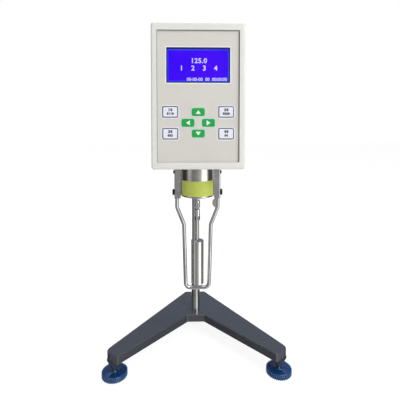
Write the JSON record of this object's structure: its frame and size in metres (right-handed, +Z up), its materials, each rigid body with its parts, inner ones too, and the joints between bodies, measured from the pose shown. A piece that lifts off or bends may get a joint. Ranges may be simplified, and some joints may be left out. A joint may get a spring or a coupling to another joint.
{
  "type": "rotational viscometer",
  "caption": "Rotational viscometer: display head on a racked column, V-shaped levelling stand, rotor hanging from a joint inside a bent-rod guard.",
  "frame": {"origin": "on the table, under the middle of the object", "axes": "+X to the right, +Y to the back, +Z up; the display faces -Y"},
  "size_m": [0.2932, 0.244, 0.5225],
  "materials": {
    "slate_enamel": "gloss enamel on a casting",
    "polished_rod": "polished",
    "zinc_steel": "zinc plated",
    "grey_enamel": "satin enamel",
    "brass": "turned",
    "bright_steel": "turned",
    "black_steel": "blackened",
    "black_plastic": "fine grain",
    "shell_grey": "fine grain",
    "bezel_white": "satin moulding",
    "panel_grey": "printed film",
    "window_clear": "clear",
    "display_blue": "lit display",
    "board_green": "solder mask",
    "motor_steel": "drawn can",
    "plate_aluminium": "milled",
    "mirror_steel": "mirror polished",
    "band_yellow": "printed film",
    "rotor_steel": "fine turned",
    "key_white": "embossed film",
    "key_green": "embossed film",
    "knob_blue": "moulded",
    "pad_rubber": "moulded"
  },
  "bodies": {
    "stand": {"base_casting": "slate_enamel", "column": "polished_rod", "column_nut": "zinc_steel"},
    "left_pad": {"left_foot_pad": "pad_rubber"},
    "left_foot": {"left_foot_knob": "knob_blue", "left_foot_stud": "zinc_steel"},
    "right_pad": {"right_foot_pad": "pad_rubber"},
    "right_foot": {"right_foot_knob": "knob_blue", "right_foot_stud": "zinc_steel"},
    "rear_pad": {"rear_foot_pad": "pad_rubber"},
    "rear_foot": {"rear_foot_knob": "knob_blue", "rear_foot_stud": "zinc_steel"},
    "lift": {"lift_block": "grey_enamel", "pinion_bush": "brass"},
    "pinion": {"pinion_shaft": "bright_steel", "lift_knob": "black_plastic"},
    "lock": {"lock_knob": "black_plastic"},
    "clamp": {"clamp_knob": "black_plastic"},
    "head": {"rear_shell": "shell_grey", "front_bezel": "bezel_white", "front_panel": "panel_grey", "display_window": "window_clear", "display_module": "display_blue", "control_board": "board_green", "key_switches": "black_plastic", "head_rod": "polished_rod", "motor": "motor_steel", "upper_plate": "plate_aluminium", "lower_plate": "plate_aluminium", "frame_posts": "bright_steel", "lower_bearing": "brass", "sensor_forks": "black_plastic", "collar": "mirror_steel", "collar_band": "band_yellow", "level_ring": "zinc_steel", "level_glass": "window_clear", "power_inlet": "black_plastic", "switch_frame": "black_plastic", "case_screws": "zinc_steel", "guard_frame": "mirror_steel", "guard_clips": "mirror_steel", "clip_screws": "black_steel"},
    "rocker": {"power_switch": "black_plastic"},
    "left_screw": {"left_guard_screw": "black_steel"},
    "right_screw": {"right_guard_screw": "black_steel"},
    "upper_left_key": {"upper_left_key": "key_white"},
    "upper_right_key": {"upper_right_key": "key_white"},
    "lower_left_key": {"lower_left_key": "key_white"},
    "lower_right_key": {"lower_right_key": "key_white"},
    "up_arrow_key": {"up_arrow_key": "key_green"},
    "down_arrow_key": {"down_arrow_key": "key_green"},
    "left_arrow_key": {"left_arrow_key": "key_green"},
    "right_arrow_key": {"right_arrow_key": "key_green"},
    "drive": {"motor_shaft": "bright_steel", "drive_disc": "plate_aluminium", "hairspring": "bright_steel"},
    "measuring": {"measuring_shaft": "bright_steel", "sensing_disc": "plate_aluminium"},
    "link": {"joint_link": "bright_steel"},
    "rotor": {"rotor": "rotor_steel"}
  },
  "joints": [
    {"name": "left_foot_rise", "type": "slide", "parent": "stand", "child": "left_pad", "axis": [0, 0, 1], "range_m": [-0.008, 0.0018]},
    {"name": "left_foot_turn", "type": "hinge", "parent": "left_pad", "child": "left_foot", "pos_m": [-0.127, -0.064, 0.004], "axis": [0, 0, 1], "range_deg": [-2880, 648]},
    {"name": "right_foot_rise", "type": "slide", "parent": "stand", "child": "right_pad", "axis": [0, 0, 1], "range_m": [-0.008, 0.0018]},
    {"name": "right_foot_turn", "type": "hinge", "parent": "right_pad", "child": "right_foot", "pos_m": [0.127, -0.064, 0.004], "axis": [0, 0, 1], "range_deg": [-2880, 648]},
    {"name": "rear_foot_rise", "type": "slide", "parent": "stand", "child": "rear_pad", "axis": [0, 0, 1], "range_m": [-0.008, 0.0018]},
    {"name": "rear_foot_turn", "type": "hinge", "parent": "rear_pad", "child": "rear_foot", "pos_m": [0, 0.101, 0.004], "axis": [0, 0, 1], "range_deg": [-2880, 648]},
    {"name": "lift_travel", "type": "slide", "parent": "stand", "child": "lift", "axis": [0, 0, 1], "range_m": [-0.13, 0.02]},
    {"name": "pinion_turn", "type": "hinge", "parent": "lift", "child": "pinion", "pos_m": [0, 0.0637, 0.433], "axis": [1, 0, 0], "range_deg": [-934.1, 146.2]},
    {"name": "lock_turn", "type": "hinge", "parent": "lift", "child": "lock", "pos_m": [-0.025, 0.051, 0.406], "axis": [1, 0, 0], "range_deg": [-360, 0]},
    {"name": "clamp_turn", "type": "hinge", "parent": "lift", "child": "clamp", "pos_m": [-0.018, 0.014, 0.421], "axis": [1, 0, 0], "range_deg": [-360, 0]},
    {"name": "head_level", "type": "hinge", "parent": "lift", "child": "head", "pos_m": [0, 0, 0.421], "axis": [0, 1, 0], "range_deg": [-8, 8]},
    {"name": "rocker_tip", "type": "hinge", "parent": "head", "child": "rocker", "pos_m": [0.03, -0.029, 0.35], "axis": [1, 0, 0], "range_deg": [-16, 0]},
    {"name": "left_screw_turn", "type": "hinge", "parent": "head", "child": "left_screw", "pos_m": [-0.034, -0.072, 0.285], "axis": [1, 0, 0], "range_deg": [-360, 0]},
    {"name": "right_screw_turn", "type": "hinge", "parent": "head", "child": "right_screw", "pos_m": [0.034, -0.072, 0.285], "axis": [-1, 0, 0], "range_deg": [-360, 0]},
    {"name": "upper_left_key_press", "type": "slide", "parent": "head", "child": "upper_left_key", "axis": [0, 1, 0], "range_m": [0, 0.0005], "stiffness_N_per_m": 1000, "springref_m": -0.0003},
    {"name": "upper_right_key_press", "type": "slide", "parent": "head", "child": "upper_right_key", "axis": [0, 1, 0], "range_m": [0, 0.0005], "stiffness_N_per_m": 1000, "springref_m": -0.0003},
    {"name": "lower_left_key_press", "type": "slide", "parent": "head", "child": "lower_left_key", "axis": [0, 1, 0], "range_m": [0, 0.0005], "stiffness_N_per_m": 1000, "springref_m": -0.0003},
    {"name": "lower_right_key_press", "type": "slide", "parent": "head", "child": "lower_right_key", "axis": [0, 1, 0], "range_m": [0, 0.0005], "stiffness_N_per_m": 1000, "springref_m": -0.0003},
    {"name": "up_arrow_key_press", "type": "slide", "parent": "head", "child": "up_arrow_key", "axis": [0, 1, 0], "range_m": [0, 0.0005], "stiffness_N_per_m": 1000, "springref_m": -0.0003},
    {"name": "down_arrow_key_press", "type": "slide", "parent": "head", "child": "down_arrow_key", "axis": [0, 1, 0], "range_m": [0, 0.0005], "stiffness_N_per_m": 1000, "springref_m": -0.0003},
    {"name": "left_arrow_key_press", "type": "slide", "parent": "head", "child": "left_arrow_key", "axis": [0, 1, 0], "range_m": [0, 0.0005], "stiffness_N_per_m": 1000, "springref_m": -0.0003},
    {"name": "right_arrow_key_press", "type": "slide", "parent": "head", "child": "right_arrow_key", "axis": [0, 1, 0], "range_m": [0, 0.0005], "stiffness_N_per_m": 1000, "springref_m": -0.0003},
    {"name": "drive_turn", "type": "hinge", "parent": "head", "child": "drive", "pos_m": [0, -0.072, 0.376], "axis": [0, 0, 1], "continuous": true},
    {"name": "measuring_turn", "type": "hinge", "parent": "drive", "child": "measuring", "pos_m": [0, -0.072, 0.352], "axis": [0, 0, 1], "range_deg": [-85, 5], "stiffness_Nm_per_rad": 0.00005},
    {"name": "link_swing", "type": "hinge", "parent": "measuring", "child": "link", "pos_m": [0, -0.072, 0.265], "axis": [1, 0, 0], "range_deg": [-2, 2]},
    {"name": "rotor_swing", "type": "hinge", "parent": "link", "child": "rotor", "pos_m": [0, -0.072, 0.256], "axis": [0, 1, 0], "range_deg": [-2, 2]}
  ],
  "couplings": [
    {"joint": "left_foot_rise", "follows": "left_foot_turn", "m_per_rad": 0.00015915},
    {"joint": "right_foot_rise", "follows": "right_foot_turn", "m_per_rad": 0.00015915},
    {"joint": "rear_foot_rise", "follows": "rear_foot_turn", "m_per_rad": 0.00015915},
    {"joint": "pinion_turn", "follows": "lift_travel", "rad_per_m": 125}
  ]
}
